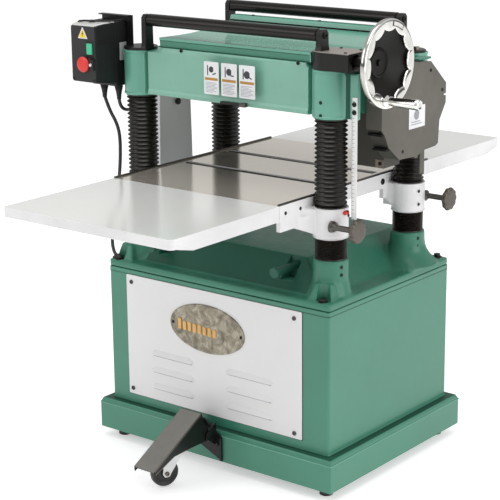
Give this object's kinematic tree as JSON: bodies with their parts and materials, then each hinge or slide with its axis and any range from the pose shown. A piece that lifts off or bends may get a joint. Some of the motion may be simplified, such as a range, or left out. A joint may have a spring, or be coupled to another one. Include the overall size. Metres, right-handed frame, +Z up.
{
  "type": "thickness planer",
  "caption": "Four-post workshop thickness planer with rising table, cutterhead, feed rollers, return rollers, handwheel and pedal caster on a cabinet base.",
  "frame": {"origin": "on the floor under the middle of the whole machine's bounding box", "axes": "+X across the table towards the handwheel, +Y along the table from infeed to outfeed, +Z up"},
  "size_m": [0.9953, 1.416, 1.178],
  "materials": {
    "green_paint": "semi-gloss stove enamel",
    "white_paint": "satin enamel",
    "grey_paint": "satin enamel",
    "charcoal_paint": "matt textured enamel",
    "black_paint": "satin enamel",
    "motor_paint": "satin enamel",
    "black_plastic": "fine grain",
    "boot_rubber": "smooth folded rubber",
    "black_rubber": "matt",
    "lead_rubber": "smooth jacket",
    "ground_steel": "ground",
    "dark_steel": "dark polished",
    "machined_iron": "ground and polished",
    "chrome": "polished",
    "zinc": "zinc plated",
    "red_plastic": "glossy",
    "green_plastic": "glossy"
  },
  "bodies": {
    "root": {"base_tray": "green_paint", "cabinet_shell": "green_paint", "base_casting": "green_paint", "headstock_casting": "green_paint", "top_cover": "green_paint", "front_panel": "white_paint", "depth_scale": "white_paint", "belt_guard": "grey_paint", "chain_cover": "charcoal_paint", "side_guard": "charcoal_paint", "elevation_gearbox": "black_paint", "front_roller_stand": "black_paint", "rear_roller_stand": "black_paint", "switch_bracket": "black_paint", "pedal_bracket": "black_paint", "switch_box": "black_plastic", "upper_boot_front_left": "boot_rubber", "upper_boot_front_right": "boot_rubber", "upper_boot_rear_left": "boot_rubber", "upper_boot_rear_right": "boot_rubber", "lower_boot_front_left": "boot_rubber", "lower_boot_front_right": "boot_rubber", "lower_boot_rear_left": "boot_rubber", "lower_boot_rear_right": "boot_rubber", "drive_belts": "black_rubber", "foot_front_left": "black_rubber", "foot_front_right": "black_rubber", "foot_rear_left": "black_rubber", "foot_rear_right": "black_rubber", "motor_lead": "lead_rubber", "switch_lead": "lead_rubber", "column_front_left": "ground_steel", "column_front_right": "ground_steel", "column_rear_left": "ground_steel", "column_rear_right": "ground_steel", "pressure_bar": "dark_steel", "motor": "motor_paint"},
    "table": {"main_table": "machined_iron", "infeed_wing": "machined_iron", "outfeed_wing": "machined_iron"},
    "front_lock": {"front_lock_knob": "dark_steel"},
    "rear_lock": {"rear_lock_knob": "dark_steel"},
    "infeed_bed_roller": {"infeed_bed_roller": "ground_steel"},
    "outfeed_bed_roller": {"outfeed_bed_roller": "ground_steel"},
    "cutterhead": {"cutterhead": "ground_steel"},
    "motor_pulley": {"motor_pulley": "dark_steel"},
    "infeed_roller": {"infeed_roller": "dark_steel"},
    "outfeed_roller": {"outfeed_roller": "dark_steel"},
    "front_return_roller": {"front_return_roller": "dark_steel"},
    "rear_return_roller": {"rear_return_roller": "dark_steel"},
    "handwheel": {"handwheel": "chrome"},
    "handwheel_grip": {"handwheel_grip": "chrome"},
    "feed_rate_knob": {"feed_rate_knob": "red_plastic"},
    "start_button": {"start_button": "green_plastic"},
    "stop_button": {"stop_button": "red_plastic"},
    "pedal": {"pedal": "black_paint"},
    "caster_fork": {"caster_fork": "zinc"},
    "caster_wheel": {"caster_wheel": "black_rubber"},
    "lifting_bar_left": {"lifting_bar_left": "green_paint"},
    "lifting_bar_right": {"lifting_bar_right": "green_paint"}
  },
  "joints": [
    {"name": "table_slide", "type": "slide", "parent": "root", "child": "table", "axis": [0, 0, 1], "range_m": [-0.0181, 0.1741], "deforming": ["upper_boot_front_left", "upper_boot_front_right", "upper_boot_rear_left", "upper_boot_rear_right", "lower_boot_front_left", "lower_boot_front_right", "lower_boot_rear_left", "lower_boot_rear_right"]},
    {"name": "handwheel_turn", "type": "hinge", "parent": "root", "child": "handwheel", "pos_m": [0.3985, -0.165, 1.074], "axis": [1, 0, 0], "range_deg": [-4050, 39150]},
    {"name": "grip_spin", "type": "hinge", "parent": "handwheel", "child": "handwheel_grip", "pos_m": [0.4515, -0.18, 0.99], "axis": [1, 0, 0], "continuous": true},
    {"name": "front_lock_turn", "type": "hinge", "parent": "table", "child": "front_lock", "pos_m": [0.3095, -0.2, 0.676], "axis": [1, 0, 0], "range_deg": [-360, 0]},
    {"name": "rear_lock_turn", "type": "hinge", "parent": "table", "child": "rear_lock", "pos_m": [0.3095, 0.212, 0.676], "axis": [1, 0, 0], "range_deg": [-360, 0]},
    {"name": "infeed_bed_spin", "type": "hinge", "parent": "table", "child": "infeed_bed_roller", "pos_m": [-0.0605, -0.065, 0.7291], "axis": [1, 0, 0], "continuous": true},
    {"name": "outfeed_bed_spin", "type": "hinge", "parent": "table", "child": "outfeed_bed_roller", "pos_m": [-0.0605, 0.115, 0.7291], "axis": [1, 0, 0], "continuous": true},
    {"name": "cutterhead_spin", "type": "hinge", "parent": "root", "child": "cutterhead", "pos_m": [-0.0605, 0.028, 0.961], "axis": [1, 0, 0], "continuous": true},
    {"name": "motor_pulley_spin", "type": "hinge", "parent": "root", "child": "motor_pulley", "pos_m": [-0.4495, 0.028, 0.3], "axis": [1, 0, 0], "continuous": true},
    {"name": "infeed_roller_spin", "type": "hinge", "parent": "root", "child": "infeed_roller", "pos_m": [-0.0605, -0.057, 0.9475], "axis": [1, 0, 0], "continuous": true},
    {"name": "outfeed_roller_spin", "type": "hinge", "parent": "root", "child": "outfeed_roller", "pos_m": [-0.0605, 0.113, 0.9475], "axis": [1, 0, 0], "continuous": true},
    {"name": "front_return_spin", "type": "hinge", "parent": "root", "child": "front_return_roller", "pos_m": [-0.0605, -0.188, 1.129], "axis": [1, 0, 0], "continuous": true},
    {"name": "rear_return_spin", "type": "hinge", "parent": "root", "child": "rear_return_roller", "pos_m": [-0.0605, 0.182, 1.129], "axis": [1, 0, 0], "continuous": true},
    {"name": "feed_rate_pull", "type": "slide", "parent": "root", "child": "feed_rate_knob", "axis": [0, -1, 0], "range_m": [0, 0.01]},
    {"name": "start_press", "type": "slide", "parent": "root", "child": "start_button", "axis": [0, 1, 0], "range_m": [0, 0.004], "stiffness_N_per_m": 800},
    {"name": "stop_press", "type": "slide", "parent": "root", "child": "stop_button", "axis": [0, 1, 0], "range_m": [0, 0.004], "stiffness_N_per_m": 800},
    {"name": "pedal_press", "type": "hinge", "parent": "root", "child": "pedal", "pos_m": [-0.0705, -0.306, 0.104], "axis": [1, 0, 0], "range_deg": [0, 8]},
    {"name": "caster_swivel", "type": "hinge", "parent": "pedal", "child": "caster_fork", "pos_m": [-0.0705, -0.418, 0.085], "axis": [0, 0, 1], "continuous": true},
    {"name": "caster_wheel_spin", "type": "hinge", "parent": "caster_fork", "child": "caster_wheel", "pos_m": [-0.07724, -0.43469, 0.0385], "axis": [0.9272, -0.3746, 0], "continuous": true},
    {"name": "lifting_bar_left_pull", "type": "slide", "parent": "root", "child": "lifting_bar_left", "axis": [0, -1, 0], "range_m": [0, 0.15]},
    {"name": "lifting_bar_right_pull", "type": "slide", "parent": "root", "child": "lifting_bar_right", "axis": [0, -1, 0], "range_m": [0, 0.15]}
  ],
  "couplings": [
    {"joint": "table_slide", "follows": "handwheel_turn", "m_per_rad": 0.00025465},
    {"joint": "motor_pulley_spin", "follows": "cutterhead_spin", "ratio": 0.69091},
    {"joint": "outfeed_roller_spin", "follows": "infeed_roller_spin", "ratio": 1}
  ]
}
